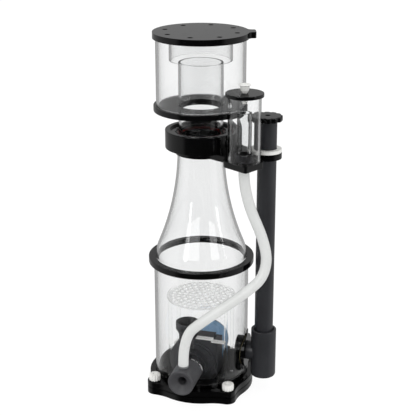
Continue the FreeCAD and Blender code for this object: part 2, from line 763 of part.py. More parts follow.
# The housing's outline seen from the front: round, with a flat top that steps down and a flat right side.
# The top is 24/25 of the radius up and starts 7/25 of it to the left; the side is 15/17 of it across
# and starts 8/17 of it down.
def voluteSlab(name, back, front):
    left = voluteRadius * 7 / 25
    side = voluteRadius * 15 / 17
    sideLow = voluteRadius * 8 / 17
    stepTop = voluteFlat - voluteStep
    body = newBody(name)
    sketch = newSketch(body, "XY_Plane", back)
    outline(sketch, [
        (side, -sideLow), (side, stepTop), (voluteStepX, stepTop), (voluteStepX, voluteFlat),
        (-left, voluteFlat, voluteRadius), (-voluteRadius, 0, voluteRadius), (0, -voluteRadius, voluteRadius),
    ])
    feature(body, "Pad", sketch, front - back)
    place(body, 0, 0, pumpHeight, "front")
    return body


def makeVolute():
    throat = dim("coverThroat", 12)
    hubRadius = nozzleRadius + hoseGap
    stepRadius = voluteRadius - 2 * thinWall
    front = voluteFront
    steps = turned("cover_steps", [
        (throat, voluteSplit), (stepRadius, voluteSplit), (stepRadius, front + 2),
        (stepRadius - thinWall, front + 2), (stepRadius - thinWall, front + 4),
        (hubRadius, front + 4), (hubRadius, nozzleBack + pumpBore), (nozzleRadius + 0.1, nozzleBack + pumpBore),
        (nozzleRadius + 0.1, nozzleBack), (throat, nozzleBack),
    ], 0, 0, pumpHeight, "front")
    throatRod = rod("cover_throat", throat, bodyRadius, 0, 0, pumpHeight, "front")
    plate = cut("cover_plate", voluteSlab("cover_slab", voluteSplit, front), throatRod)
    keep("volute_cover", fuse("volute_cover", plate, steps))
    shell = voluteSlab("volute_shell", voluteBack, voluteSplit)
    boss = rod("volute_boss", pumpOutRadius + 2, bossTop - pumpHeight, pumpOutX, pumpOutY, pumpHeight)
    floor = voluteBack + tubeWall
    chamber = rod("volute_chamber", chamberRadius, voluteSplit - floor, 0, -floor, pumpHeight, "front")
    backHole = rod("volute_back_hole", wellRadius, floor, 0, 0, pumpHeight, "front")
    outBore = rod("volute_out_bore", pumpBore, 2 * pumpHeight, pumpOutX, pumpOutY, pumpHeight)
    seat = bossTop - pumpBore
    pipeSeat = rod("volute_pipe_seat", pumpOutRadius + 0.1, pumpHeight, pumpOutX, pumpOutY, seat)
    hollows = fuse("volute_hollows", chamber, backHole, outBore, pipeSeat)
    keep("volute_body", cut("volute_body", fuse("volute_solid", shell, boss), hollows))
    lipRadius = dim("lipRadius", 16.5)
    cupBottom = dim("cupBottom", 12)
    lip = lipTop - seat
    keep("pump_outlet_pipe", turned("pump_outlet_pipe", [
        (pumpBore, 0), (pumpOutRadius, 0), (pumpOutRadius, pumpBore + 0.1), (pumpOutRadius + thinWall, pumpBore + 0.1),
        (pumpOutRadius + thinWall, cupBottom - 1), (lipRadius - 1, cupBottom + 1),
        (lipRadius, cupBottom + 2 * thinWall), (lipRadius, lip - edge), (lipRadius - edge, lip),
        (lipRadius - thinWall, lip), (pumpBore, cupBottom + 1),
    ], pumpOutX, pumpOutY, seat))
    strapWide = dim("strapWide", 8)
    strapThick = dim("strapThick", 1.6)
    strapLeft = dim("strapLeft", 1.5)
    strapRight = dim("strapRight", 41.5)
    low = voluteFlat - voluteStep
    strap = newBody("pump_strap")
    sketch = newSketch(strap, "XY_Plane", voluteFront - strapWide)
    outline(sketch, [
        (strapLeft, voluteFlat), (voluteStepX, voluteFlat), (voluteStepX, low), (strapRight, low),
        (strapRight, low + strapThick), (voluteStepX + strapThick, low + strapThick),
        (voluteStepX + strapThick, voluteFlat + strapThick), (strapLeft, voluteFlat + strapThick),
    ])
    feature(strap, "Pad", sketch, strapWide)
    place(strap, 0, 0, pumpHeight, "front")
    keep("pump_strap", strap)


def makeMotor():
    flange = motorRadius + thinWall
    shoulder = voluteBack - 5
    keep("motor_housing", turned("motor_housing", [
        (0, motorBack), (motorRadius, motorBack), (motorRadius, shoulder), (flange, shoulder),
        (flange, voluteBack), (wellRadius, voluteBack), (wellRadius, motorBack + 5), (0, motorBack + 5),
    ], 0, 0, pumpHeight, "front"))
    keep("motor_end_cap", turned("motor_end_cap", [
        (0, motorEnd), (motorRadius - 4, motorEnd), (motorRadius, motorEnd + 2.5), (motorRadius, motorBack),
        (0, motorBack),
    ], 0, 0, pumpHeight, "front"))
    gland = rod("cable_gland", 4.5, 7, 0, -motorEnd + 7, pumpHeight + 12, "front")
    keep("cable_gland", gland)


# Needle wheel, magnet rotor and shaft turn together; the bushes stay in the housing.
def makeImpeller():
    shaftFront = voluteSplit + 7.5
    needleTall = voluteSplit - voluteBack - 8
    shaftBack = motorBack + 6
    wheel = newBody("needle_wheel")
    disc = newSketch(wheel, "XY_Plane")
    drawCircle(disc, 24)
    drawCircle(disc, shaftRadius)
    feature(wheel, "Pad", disc, 2)
    hub = newSketch(wheel, "XY_Plane")
    drawCircle(hub, 6)
    drawCircle(hub, shaftRadius)
    feature(wheel, "Pad", hub, needleTall)
    for ring, count in ((10, 8), (14.5, 12), (18.5, 16), (22.5, 20)):
        needle = newSketch(wheel, "XY_Plane")
        drawCircle(needle, 0.9, ring)
        repeat(wheel, feature(wheel, "Pad", needle, needleTall), count)
    place(wheel, 0, -voluteBack - 5, pumpHeight, "front")
    keep("needle_wheel", wheel)

    rotorBack = motorBack + 9
    rotor = tube("magnet_rotor", wellRadius - 0.9, shaftRadius, voluteBack + 5 - rotorBack, 0, -rotorBack,
                 pumpHeight, "front")
    keep("magnet_rotor", rotor)
    shaft = rod("impeller_shaft", shaftRadius, shaftFront - shaftBack, 0, -shaftBack, pumpHeight, "front")
    keep("impeller_shaft", shaft)

    boreFit = shaftRadius + runFit
    rear = tube("rear_bush", wellRadius - 0.1, boreFit, 3, 0, -motorBack - 5, pumpHeight, "front")
    keep("rear_bush", rear)
    spokes = []
    for number in range(3):
        spoke = rod(f"bush_spoke_{number + 1}", 1.5, 11.9)
        spoke.Placement = FreeCAD.Placement(
            FreeCAD.Vector(), FreeCAD.Rotation(FreeCAD.Vector(0, 1, 0), 120 * number))
        bind(spoke, "Placement.Base.y", 4 - shaftFront)
        bind(spoke, "Placement.Base.z", pumpHeight)
        spokes.append(spoke)
    sleeve = rod("bush_sleeve", 4.5, 6, 0, 7 - shaftFront, pumpHeight, "front")
    bushBore = rod("bush_bore", boreFit, 12, 0, 10 - shaftFront, pumpHeight, "front")
    keep("front_bush", cut("front_bush", fuse("bush_solid", sleeve, *spokes), bushBore))


def makePumpStand():
    cradleTop = dim("cradleTop", 24)
    cradleBottom = plateThick + feetHeight
    wings = block("cradle_block", 48, 30, cradleTop - cradleBottom, -24, 8, cradleBottom)
    saddle = rod("cradle_saddle", motorRadius + 0.05, 60, 0, 50, pumpHeight, "front")
    keep("pump_cradle", cut("pump_cradle", wings, saddle))
    feet = []
    for number, (x, y) in enumerate(((-17, 14), (17, 14), (-17, 32), (17, 32))):
        feet.append(rod(f"pump_foot_{number + 1}", 4.5, feetHeight, x, y, plateThick))
    keep("pump_feet", fuse("pump_feet", *feet))


# ---- bubble plate --------------------------------------------------------------------------

def makeBubblePlate():
    holeRadius = dim("holeRadius", 2)
    body = newBody("bubble_plate")
    disc = newSketch(body, "XY_Plane")
    drawCircle(disc, bubbleRadius)
    feature(body, "Pad", disc, bubbleThick)
    for ring, count in ((8, 6), (16, 12), (24, 18), (32, 24), (40, 30)):
        hole = newSketch(body, "XY_Plane", bubbleThick)
        drawCircle(hole, holeRadius, ring)
        repeat(body, feature(body, "Pocket", hole, bubbleThick), count)
    place(body, 0, 0, bubbleBottom)
    keep("bubble_plate", body)
    legs = []
    for number, angle in enumerate((25, 155, 205, 335)):
        x, y = polar(bubbleRadius - 4, angle)
        legs.append(rod(f"plate_leg_{number + 1}", 2.5, bubbleBottom - plateThick, x, y, plateThick))
    keep("bubble_plate_legs", fuse("bubble_plate_legs", *legs))


makeBasePlate()
makeBodyFlange()
makeBodyTube()
makeThumbscrews()
makeBodyRing()
makeNeckCone()
makeCollar()
makeBracket()
makeCup()
makeLid()
makeOutlet()
makeTee()
makeStandpipe()
makeSilencer()
makeNozzle()
makeHose()
makeVolute()
makeMotor()
makeImpeller()
makePumpStand()
makeBubblePlate()

doc.recompute()
for thing in doc.Objects:
    if "Invalid" in thing.State or "Error" in thing.State:
        raise RuntimeError(f"{thing.Label} did not recompute: {thing.State}")
for label, piece in pieces.items():
    if piece.Shape.isNull() or not piece.Shape.isValid() or not piece.Shape.Solids:
        raise RuntimeError(f"{label} has no valid solid")

os.makedirs("parts", exist_ok=True)
for label, piece in pieces.items():
    piece.Shape.exportStep(f"parts/{label}.step")
print(len(pieces), "pieces written")
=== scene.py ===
import json
import math

import bmesh
import bpy
import numpy as np
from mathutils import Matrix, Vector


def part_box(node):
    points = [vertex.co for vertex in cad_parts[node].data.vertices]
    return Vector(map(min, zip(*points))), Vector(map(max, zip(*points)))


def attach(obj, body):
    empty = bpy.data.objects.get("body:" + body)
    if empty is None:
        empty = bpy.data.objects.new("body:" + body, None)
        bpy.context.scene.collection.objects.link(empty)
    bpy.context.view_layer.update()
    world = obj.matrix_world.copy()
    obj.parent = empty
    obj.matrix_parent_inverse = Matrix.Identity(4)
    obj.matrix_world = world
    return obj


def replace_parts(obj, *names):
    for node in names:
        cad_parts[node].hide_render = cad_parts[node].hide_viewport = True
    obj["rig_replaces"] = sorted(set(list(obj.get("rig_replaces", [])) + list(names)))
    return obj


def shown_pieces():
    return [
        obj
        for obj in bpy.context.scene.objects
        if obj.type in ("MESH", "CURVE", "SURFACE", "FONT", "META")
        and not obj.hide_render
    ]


# Cone-body protein skimmer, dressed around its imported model. Sizes are millimetres until addPiece.

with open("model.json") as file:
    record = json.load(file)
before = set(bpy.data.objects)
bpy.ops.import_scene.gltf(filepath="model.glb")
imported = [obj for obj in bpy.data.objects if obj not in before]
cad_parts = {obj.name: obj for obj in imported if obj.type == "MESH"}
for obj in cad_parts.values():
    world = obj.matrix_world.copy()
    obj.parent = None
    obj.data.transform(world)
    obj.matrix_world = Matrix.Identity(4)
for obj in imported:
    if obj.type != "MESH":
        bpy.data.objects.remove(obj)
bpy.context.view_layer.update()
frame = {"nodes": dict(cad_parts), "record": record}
behaviour = frame["record"]["behaviour"]
bodyOf = {node: body for body, members in behaviour["bodies"].items() for node in members}
slotOf = {part["node"]: part["material_slot"] for part in frame["record"]["subparts"]}
milli = 0.001


def spanOf(node):  # lowest and highest corner of a CAD node, in millimetres
    low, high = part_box(node)
    return np.array(low) / milli, np.array(high) / milli


def middleOf(node):
    low, high = spanOf(node)
    return (low + high) / 2


def newObject(name, data):
    thing = bpy.data.objects.new(name, data)
    bpy.context.scene.collection.objects.link(thing)
    return thing


# camera

cameraLook = {"place": (0.3781, -1.3129, 0.74483), "lookDown": 19.56, "turn": 15.68, "lens": 92.485}

cameraData = bpy.data.cameras.new("camera")
cameraData.lens = cameraLook["lens"]
cameraData.sensor_width = 36
camera = newObject("camera", cameraData)
camera.location = cameraLook["place"]
camera.rotation_euler = (math.radians(90 - cameraLook["lookDown"]), 0, math.radians(cameraLook["turn"]))
bpy.context.scene.camera = camera
print("camera placed")


# finishes

class Graph:  # a material's node tree with short ways to add what the finishes share
    def __init__(self, name):
        self.material = bpy.data.materials.new(name)
        self.material.use_nodes = True
        self.nodes = self.material.node_tree.nodes
        self.links = self.material.node_tree.links
        self.shader = self.nodes["Principled BSDF"]
        self.coords = self.nodes.new("ShaderNodeTexCoord")

    def add(self, kind, settings=None, **inputs):  # an underscore in an input's name stands for a space
        node = self.nodes.new(f"ShaderNode{kind}")
        for key, value in (settings or {}).items():
            setattr(node, key, value)
        for key, value in inputs.items():
            self.feed(node, key.replace("_", " "), value)
        return node

    def feed(self, node, socket, value):
        if isinstance(value, bpy.types.NodeSocket):
            self.links.new(value, node.inputs[socket])
        else:
            node.inputs[socket].default_value = value

    def stretched(self, scale, turn=(0, 0, 0)):  # object coordinates, squeezed along some axes
        mapping = self.add("Mapping", Vector=self.coords.outputs["Object"], Scale=scale)
        mapping.inputs["Rotation"].default_value = turn
        return mapping.outputs["Vector"]

    def noise(self, scale, detail=3, vector=None, rough=0.55):
        return self.add("TexNoise", Vector=vector or self.coords.outputs["Object"],
                        Scale=scale, Detail=detail, Roughness=rough).outputs["Fac"]

    def span(self, value, low, high, fromLow=0.3, fromHigh=0.7):  # maps a range of a value on another range
        limits = {"From Min": fromLow, "From Max": fromHigh, "To Min": low, "To Max": high}
        node = self.add("MapRange", Value=value)
        for key, number in limits.items():
            node.inputs[key].default_value = number
        return node.outputs["Result"]

    def mix(self, factor, first, second):
        node = self.add("Mix", {"data_type": "RGBA"}, Factor=factor)
        node.inputs[6].default_value = (*first, 1) if isinstance(first, tuple) else (0, 0, 0, 1)
        node.inputs[7].default_value = (*second, 1) if isinstance(second, tuple) else (0, 0, 0, 1)
        for index, value in ((6, first), (7, second)):
            if isinstance(value, bpy.types.NodeSocket):
                self.links.new(value, node.inputs[index])
        return node.outputs[2]

    def math(self, how, first, second=0.0):
        node = self.add("Math", {"operation": how})
        for index, value in ((0, first), (1, second)):
            if isinstance(value, bpy.types.NodeSocket):
                self.links.new(value, node.inputs[index])
            else:
                node.inputs[index].default_value = value
        return node.outputs[0]

    def bump(self, height, strength, distance, below=None):
        node = self.add("Bump", Height=height, Strength=strength, Distance=distance)
        if below is not None:
            self.links.new(below, node.inputs["Normal"])
        return node.outputs["Normal"]


plasticLook = {  # what a plastic is where its own look says nothing; scales are repeats per metre
    "driftScale": 18, "speckScale": 900, "speckFrom": 0.66, "speckFull": 0.72, "speckShare": 0.25,
    "scratchScale": 60, "scratchStretch": (1.5, 1.2, 26), "scratchTurn": (0.5, 0.35, 0.8), "scratch": 0.05,
    "scratchFrom": 0.64, "scratchFull": 0.68, "patchScale": 45, "swell": (1, 1, 1), "swellScale": 28,
    "swellStrength": 0.06, "swellDeep": 0.001, "grainScale": 1400, "grainDeep": 0.0002, "sockets": {},
}


# A moulded or cast plastic: the colour drifts between two tints with a broad noise, the roughness drifts
# between two values and rises along fine scratches, and the bump is a broad swell under a fine grain.
def plastic(name, look):
    look = {**plasticLook, "speckTint": look["tintTo"], **look}
    graph = Graph(name)
    drift = graph.span(graph.noise(look["driftScale"], 2), 0, 1)
    tint = graph.mix(drift, look["tint"], look["tintTo"])
    specks = graph.noise(look["speckScale"], 1)
    speckShare = graph.span(specks, 0, look["speckShare"], look["speckFrom"], look["speckFull"])
    graph.feed(graph.shader, "Base Color", graph.mix(speckShare, tint, look["speckTint"]))
    along = graph.stretched(look["scratchStretch"], look["scratchTurn"])
    scratchLines = graph.noise(look["scratchScale"], 2, along)
    scratches = graph.span(scratchLines, 0, look["scratch"], look["scratchFrom"], look["scratchFull"])
    patches = graph.span(graph.noise(look["patchScale"], 4), *look["rough"])
    graph.feed(graph.shader, "Roughness", graph.math("ADD", patches, scratches))
    swell = graph.noise(look["swellScale"], 2, graph.stretched(look["swell"]))
    swell = graph.bump(swell, look["swellStrength"], look["swellDeep"])
    grain = graph.bump(graph.noise(look["grainScale"], 3), look["grain"], look["grainDeep"], swell)
    graph.feed(graph.shader, "Normal", grain)
    for socket, value in look["sockets"].items():
        graph.shader.inputs[socket].default_value = value
    return graph.material


blackAcrylic = plastic("blackAcrylic", {
    "tint": (0.0009, 0.0009, 0.001), "tintTo": (0.002, 0.002, 0.0022), "rough": (0.04, 0.1),
    "grain": 0.02, "scratch": 0.1, "speckTint": (0.02, 0.02, 0.02), "speckShare": 0.2,
    "sockets": {"IOR": 1.49},
})
clearAcrylic = plastic("clearAcrylic", {
    "tint": (0.992, 0.994, 0.994), "tintTo": (0.982, 0.986, 0.987), "rough": (0.0, 0.012), "driftScale": 9,
    "grain": 0.006, "scratch": 0.05, "swell": (1, 1, 0.15), "swellScale": 60, "swellStrength": 0.05,
    "speckTint": (0.9, 0.9, 0.9), "sockets": {"Transmission Weight": 1.0, "IOR": 1.49},
})
# The body tube and neck cone take this copy of the clear acrylic with a greyer tint: painted shade for the
# grey tone that light gives these tubes.
greyShadedAcrylic = plastic("greyShadedAcrylic", {
    "tint": (0.965, 0.968, 0.968), "tintTo": (0.945, 0.95, 0.952), "rough": (0.0, 0.012), "driftScale": 9,
    "grain": 0.006, "scratch": 0.05, "swell": (1, 1, 0.15), "swellScale": 60, "swellStrength": 0.05,
    "speckTint": (0.88, 0.88, 0.88), "sockets": {"Transmission Weight": 1.0, "IOR": 1.49},
})
cloudyAcrylic = plastic("cloudyAcrylic", {
    "tint": (0.97, 0.975, 0.96), "tintTo": (0.93, 0.94, 0.92), "rough": (0.12, 0.22), "driftScale": 30,
    "grain": 0.02, "speckTint": (0.85, 0.86, 0.82),
    "sockets": {"Transmission Weight": 1.0, "IOR": 1.1, "Alpha": 0.36},
})
charcoalPlastic = plastic("charcoalPlastic", {
    "tint": (0.021, 0.022, 0.025), "tintTo": (0.032, 0.033, 0.037), "rough": (0.28, 0.4),
    "grain": 0.12, "scratch": 0.1, "speckTint": (0.08, 0.08, 0.085), "swell": (1, 1, 0.3),
    "sockets": {"IOR": 1.5},
})
whiteNylon = plastic("whiteNylon", {
    "tint": (0.86, 0.86, 0.84), "tintTo": (0.78, 0.78, 0.75), "rough": (0.38, 0.5), "grain": 0.15,
    "speckTint": (0.6, 0.6, 0.58),
})
milkySilicone = plastic("milkySilicone", {
    "tint": (0.68, 0.69, 0.68), "tintTo": (0.64, 0.65, 0.64), "rough": (0.25, 0.32), "grain": 0.03,
    "driftScale": 30, "speckTint": (0.58, 0.59, 0.58), "swellStrength": 0.03, "scratch": 0.0,
    "speckShare": 0.1,
    "sockets": {"IOR": 1.41},
})
sawnBlack = plastic("sawnBlack", {
    "tint": (0.002, 0.002, 0.0022), "tintTo": (0.004, 0.004, 0.0045), "rough": (0.6, 0.75), "grain": 0.2,
    "speckTint": (0.01, 0.01, 0.01), "sockets": {"IOR": 1.49, "Specular IOR Level": 0.1},
})
greyBarb = plastic("greyBarb", {
    "tint": (0.12, 0.125, 0.13), "tintTo": (0.16, 0.165, 0.17), "rough": (0.32, 0.45), "grain": 0.12,
})
hubPlastic = plastic("hubPlastic", {
    "tint": (0.02, 0.02, 0.022), "tintTo": (0.035, 0.035, 0.038), "rough": (0.28, 0.4), "grain": 0.1,
})
redSilicone = plastic("redSilicone", {
    "tint": (0.12, 0.004, 0.004), "tintTo": (0.08, 0.003, 0.003), "rough": (0.35, 0.5), "grain": 0.1,
    "sockets": {"Subsurface Weight": 0.1, "Subsurface Scale": 0.001},
})
blackRubber = plastic("blackRubber", {
    "tint": (0.012, 0.012, 0.012), "tintTo": (0.022, 0.022, 0.021), "rough": (0.55, 0.7), "grain": 0.3,
})
gasketSheet = plastic("gasketSheet", {
    "tint": (0.12, 0.1, 0.04), "tintTo": (0.08, 0.07, 0.03), "rough": (0.55, 0.7), "grain": 0.3,
})
nozzleGrey = plastic("nozzleGrey", {
    "tint": (0.05, 0.05, 0.054), "tintTo": (0.07, 0.07, 0.075), "rough": (0.32, 0.5), "grain": 0.3,
    "grainScale": 1000, "speckTint": (0.12, 0.12, 0.125), "scratch": 0.2,
})
pumpGrey = plastic("pumpGrey", {
    "tint": (0.055, 0.056, 0.061), "tintTo": (0.075, 0.076, 0.082), "rough": (0.38, 0.52), "grain": 0.3,
    "grainScale": 1000, "speckTint": (0.12, 0.12, 0.125),
})
whiteSeal = plastic("whiteSeal", {
    "tint": (0.97, 0.97, 0.95), "tintTo": (0.92, 0.92, 0.9), "rough": (0.45, 0.6), "grain": 0.15,
})
motorBlue = plastic("motorBlue", {
    "tint": (0.24, 0.45, 0.7), "tintTo": (0.18, 0.37, 0.62), "rough": (0.22, 0.34), "grain": 0.1,
    "speckTint": (0.4, 0.55, 0.72), "sockets": {"Coat Weight": 0.4, "Coat Roughness": 0.15},
})
needleWhite = plastic("needleWhite", {
    "tint": (0.72, 0.73, 0.72), "tintTo": (0.62, 0.63, 0.62), "rough": (0.35, 0.5), "grain": 0.1,
})
magnetDark = plastic("magnetDark", {
    "tint": (0.05, 0.05, 0.052), "tintTo": (0.08, 0.08, 0.08), "rough": (0.4, 0.55), "grain": 0.3,
})
shaftCeramic = plastic("shaftCeramic", {
    "tint": (0.85, 0.84, 0.8), "tintTo": (0.78, 0.77, 0.73), "rough": (0.12, 0.2), "grain": 0.03,
})
finishOf = {
    "black_acrylic": blackAcrylic, "clear_acrylic": clearAcrylic, "charcoal_pvc": charcoalPlastic,
    "white_nylon": whiteNylon, "grey_barb": greyBarb, "hub_plastic": hubPlastic,
    "clear_silicone": milkySilicone, "red_silicone": redSilicone, "black_rubber": blackRubber,
    "gasket_sheet": gasketSheet, "pump_grey": pumpGrey, "white_seal": whiteSeal, "motor_blue": motorBlue,
    "needle_white": needleWhite, "magnet": magnetDark, "shaft_ceramic": shaftCeramic,
    "bush_rubber": blackRubber,
}
print("finishes made:", len(finishOf))


# shapes

weldReach = 1e-6  # metres within which the points of one surface become one
cornerSteps = 5  # straight stretches that a softened corner is drawn with


# Quads of a grid that closes along its first side; it closes along the second too where loop is true.
def gridFaces(along, across, loop=True):
    i, j = np.meshgrid(np.arange(along), np.arange(across if loop else across - 1), indexing="ij")
    nextI, nextJ = (i + 1) % along, (j + 1) % across
    corners = [i * across + j, nextI * across + j, nextI * across + nextJ, i * across + nextJ]
    return np.stack(corners, -1).reshape(-1, 4)


# Softens the corners (r, h, size) of an outline: with s from 0 to 1 a corner becomes the parabola
# corner + back (1 - s)^2 + ahead s^2, where back and ahead reach "size" along its two sides.
def softCorners(corners, closed=True):
    corners = np.array(corners, float)
    spots, sizes = corners[:, :2], corners[:, 2].copy()
    back, ahead = np.roll(spots, 1, 0) - spots, np.roll(spots, -1, 0) - spots
    backLong, aheadLong = np.linalg.norm(back, axis=1), np.linalg.norm(ahead, axis=1)
    if not closed:
        sizes[[0, -1]] = 0
    longest = 0.48 * np.minimum(backLong, aheadLong)  # two corners of one side never meet
    reach = np.minimum(sizes, longest)
    s = np.linspace(0, 1, cornerSteps + 1)[None, :, None]
    curve = spots[:, None] + (back * (reach / backLong)[:, None])[:, None] * (1 - s) ** 2 \
        + (ahead * (reach / aheadLong)[:, None])[:, None] * s ** 2
    curve = curve.reshape(-1, 2)
    return curve[np.linalg.norm(curve - np.roll(curve, 1, 0), axis=1) > weldReach]


def facing(points, way):  # "front" turns a piece's own Z to -Y, "side" turns it to +X
    x, y, z = points.T
    return np.stack({"up": (x, y, z), "front": (x, -z, y), "side": (z, y, -x)}[way], -1)


# A surface of revolution: point(turn, i) = (r_i cos turn, r_i sin turn, h_i). The ripple changes r with
# the turn. An open profile starts and ends on the axis.
def lathe(profile, centre=(0, 0, 0), way="up", around=144, closed=True, ripple=None):
    r, h = np.array(profile, float).T
    if np.sum(r * np.roll(h, -1) - np.roll(r, -1) * h) < 0:
        r, h = r[::-1], h[::-1]
    turn = np.linspace(0, 2 * np.pi, around, endpoint=False)[:, None]
    radius = ripple(turn, r[None]) if ripple else r[None] + 0 * turn
    points = np.stack([radius * np.cos(turn), radius * np.sin(turn), h[None] + 0 * turn], -1)
    return facing(points.reshape(-1, 3), way) + np.array(centre), gridFaces(around, len(r), closed)


def meshOf(name, surface):  # a mesh of points in millimetres, with its seam and poles closed
    points, faces = surface
    mesh = bpy.data.meshes.new(name)
    mesh.from_pydata((points * milli).tolist(), [], faces.tolist())
    weld = bmesh.new()
    weld.from_mesh(mesh)
    bmesh.ops.remove_doubles(weld, verts=weld.verts, dist=weldReach)
    weld.to_mesh(mesh)
    weld.free()
    return mesh


def evenNormals(piece):  # large faces set the shading of the softened edges beside them
    even = piece.modifiers.new("even", "WEIGHTED_NORMAL")
    even.weight, even.keep_sharp = 80, True


def softEdges(piece, width, sharpTurn, segments=2):
    soft = piece.modifiers.new("soft", "BEVEL")
    soft.limit_method, soft.angle_limit = "ANGLE", math.radians(sharpTurn)
    soft.width, soft.segments = width * milli, segments


# Puts a surface in the scene: it stands for CAD nodes, rides on their body and takes their slot.
def addPiece(name, surface, stands, finish=None):
    mesh = meshOf(name, surface)
    mesh.shade_smooth()
    piece = newObject(name, mesh)
    dress(piece, stands, finish)
    return piece


def dress(piece, stands, finish=None):
    piece.data.materials.append(finish or finishOf[slotOf[stands[0]]])
    if piece.type == "MESH":
        evenNormals(piece)
    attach(piece, bodyOf[stands[0]])
    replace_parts(piece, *stands)


# Takes cutters out of a piece and softens the cut edges; the cutters go away again.
def carve(piece, cutters, edge):
    points, faces = cutters[0]
    for more, moreFaces in cutters[1:]:
        faces = np.concatenate([faces, moreFaces + len(points)])
        points = np.concatenate([points, more])
    tool = newObject("cutter", meshOf("cutter", (points, faces)))
    piece.modifiers.clear()
    cut = piece.modifiers.new("cut", "BOOLEAN")
    cut.operation, cut.solver, cut.object = "DIFFERENCE", "EXACT", tool
    softEdges(piece, edge, sharpTurn=50)
    bpy.context.view_layer.update()
    evaluated = piece.evaluated_get(bpy.context.evaluated_depsgraph_get())
    result = bpy.data.meshes.new_from_object(evaluated)
    piece.modifiers.clear()
    old = piece.data
    result.name = old.name
    piece.data = result
    bpy.data.meshes.remove(old)
    bpy.data.objects.remove(tool)
    evenNormals(piece)


def cylinder(radius, low, high, centre, way):
    profile = [(0, low), (radius, low), (radius, high), (0, high)]
    return lathe(profile, centre, way, around=64, closed=False)


# the air hose leaves the barb under the silencer, bows out in front of the standpipe and comes back
# over the body to the barb on the intake nozzle

hoseLook = {"radius": 7, "length": 0.3237, "sides": 8, "smooth": 16}
hoseRoute = [
    (0.0712, -0.0506, 0.336), (0.0712, -0.0506, 0.302), (0.1038, -0.051, 0.232), (0.1032, -0.059, 0.196),
    (0.082, -0.071, 0.1745), (0.03, -0.091, 0.137), (0.0, -0.088, 0.108), (0.0, -0.088, 0.066),
]
hoseCurve = bpy.data.curves.new("airHose", "CURVE")
hoseCurve.dimensions = "3D"
hoseCurve.bevel_depth = hoseLook["radius"] * milli
hoseCurve.bevel_resolution = hoseLook["sides"]
hoseCurve.resolution_u = hoseLook["smooth"]
hoseCurve.use_fill_caps = True
hoseLine = hoseCurve.splines.new("NURBS")
hoseLine.points.add(len(hoseRoute) - 1)
for spot, place in zip(hoseLine.points, hoseRoute):
    spot.co = (*place, 1)
hoseLine.order_u = 3
hoseLine.use_endpoint_u = True
airHose = newObject("airHose", hoseCurve)
dress(airHose, ["air_hose"])
print("hose made")


# clear tubes

tubeLook = {"air": 0.07, "edge": 0.5}  # a hair of air around each tube, so that both surfaces show
bodyTube = {"wall": 4, "nozzleHole": 18.4, "outletHole": 12.6, "cutFrom": 30, "cutTo": 80}
plainTubes = {  # CAD node and wall of each
    "cupWall": ("cup_wall", 4), "riserTube": ("cup_riser", 3), "lidDeflector": ("lid_deflector", 3),
    "silencerTube": ("silencer_tube", 3), "silencerInnerTube": ("silencer_inner_tube", 2.5),
}


def makeClearTube(name, node, wall, finish=None):
    low, high = spanOf(node)
    x, y, _ = (low + high) / 2
    outer = (high[1] - low[1]) / 2
    inner, outer = outer - wall, outer - tubeLook["air"]
    foot, top = low[2] + tubeLook["air"], high[2] - tubeLook["air"]
    section = [(inner, foot), (outer, foot), (outer, top), (inner, top)]
    profile = softCorners([(r, h, tubeLook["edge"]) for r, h in section])
    return addPiece(name, lathe(profile, (x, y, 0)), [node], finish)


def makeBodyTube():
    reach = bodyTube["cutFrom"], bodyTube["cutTo"]
    nozzleMiddle = (0, 0, middleOf("motor_housing")[2])
    outletMiddle = (0, 0, middleOf("outlet_flange")[2])
    carve(makeClearTube("bodyTube", "body_tube", bodyTube["wall"], greyShadedAcrylic), [
        cylinder(bodyTube["nozzleHole"], *reach, nozzleMiddle, "front"),
        cylinder(bodyTube["outletHole"], *reach, outletMiddle, "side"),
    ], tubeLook["edge"])


makeBodyTube()
for name, (node, wall) in plainTubes.items():
    makeClearTube(name, node, wall)

# The neck's wall runs up a short round arc at its foot, r = a + 48 cos t, and then a long hollow arc,
# r = b - 350 cos t; both are upright at their far ends and share one slope where they meet.
neck = {"foot": 62.3, "top": 31.3, "wall": 3, "hollow": 350, "seat": 188.3, "gap": 0.1, "footSteps": 14,
        "hollowSteps": 40, "around": 180}


def flareLine(offset):
    ringTop, collarBottom = spanOf("body_ring")[1][2], spanOf("neck_collar")[0][2]
    halfTan = (neck["foot"] - neck["top"]) / (collarBottom - ringTop)
    share = 2 * math.atan(halfTan)
    footArc = (collarBottom - ringTop) / math.sin(share) - neck["hollow"]
    rise = np.linspace(0, share, neck["footSteps"])
    lower = np.stack([neck["foot"] - footArc + (footArc - offset) * np.cos(rise),
                      ringTop + (footArc - offset) * np.sin(rise)], -1)
    rise = np.linspace(share, 0, neck["hollowSteps"])
    reach = neck["hollow"] + offset
    upper = np.stack([neck["top"] + neck["hollow"] - reach * np.cos(rise),
                      collarBottom - reach * np.sin(rise)], -1)
    return np.concatenate([lower, upper[1:]])


def neckSide(offset):  # one side of the wall from its seat in the ring to its end under the riser
    end = spanOf("cup_riser")[0][2] - neck["gap"]
    seat = [(neck["foot"] - offset, neck["seat"])]
    return np.concatenate([seat, flareLine(offset), [(neck["top"] - offset, end)]])


neckProfile = np.concatenate([neckSide(0), neckSide(neck["wall"])[::-1]])
addPiece("neckCone", lathe(neckProfile, around=neck["around"]), ["neck_cone"], greyShadedAcrylic)
print("clear tubes made")


# turned pieces: socket, rings, plates, knobs and screws

# The rim dips towards the axis "count" times a turn: r - deep |cos(count turn / 2)|^power beyond "rim".
def scallops(count, deep, rim, power):
    def ripple(turn, r):
        dip = np.abs(np.cos(count * turn / 2)) ** power
        return r - deep * dip * (r > rim)
    return ripple


